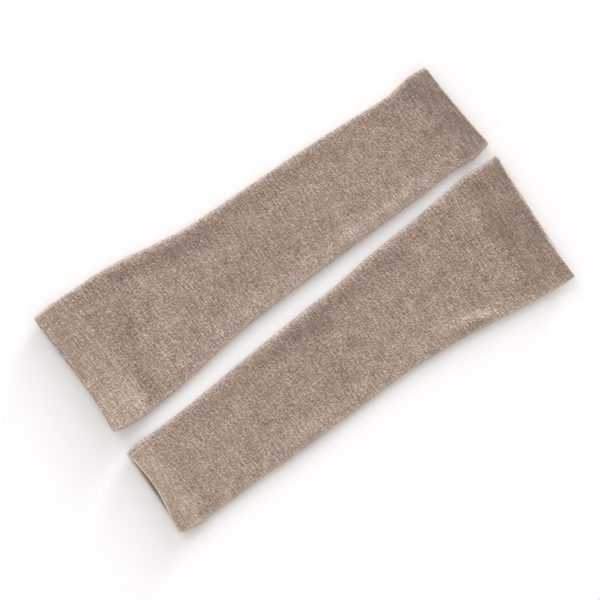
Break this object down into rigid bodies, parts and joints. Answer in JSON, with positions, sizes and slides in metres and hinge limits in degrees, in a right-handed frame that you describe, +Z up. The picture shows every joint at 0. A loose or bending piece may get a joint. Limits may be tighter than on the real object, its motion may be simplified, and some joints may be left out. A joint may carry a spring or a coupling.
{
  "type": "pair of knitted leg warmers laid flat",
  "caption": "Pair of plain heather-knit leg warmers, tapered tubes with doubled cuffs, lying flat side by side and top to tail.",
  "frame": {"origin": "centre of the pair's bounding box, on the surface that the pair lies on", "axes": "+X along both tubes, towards leg A's ankle end and leg B's calf end; +Y across them, from leg B to leg A; +Z up from the surface"},
  "size_m": [0.4526, 0.2688, 0.015],
  "materials": {
    "body_knit": "matt fine heather knit in taupe, slightly napped",
    "cuff_knit": "the same matt heather knit, doubled at the hem"
  },
  "bodies": {
    "root": {"leg_a_body": "body_knit", "leg_a_calf_cuff": "cuff_knit", "leg_a_ankle_cuff": "cuff_knit", "leg_b_body": "body_knit", "leg_b_calf_cuff": "cuff_knit", "leg_b_ankle_cuff": "cuff_knit"}
  },
  "joints": []
}
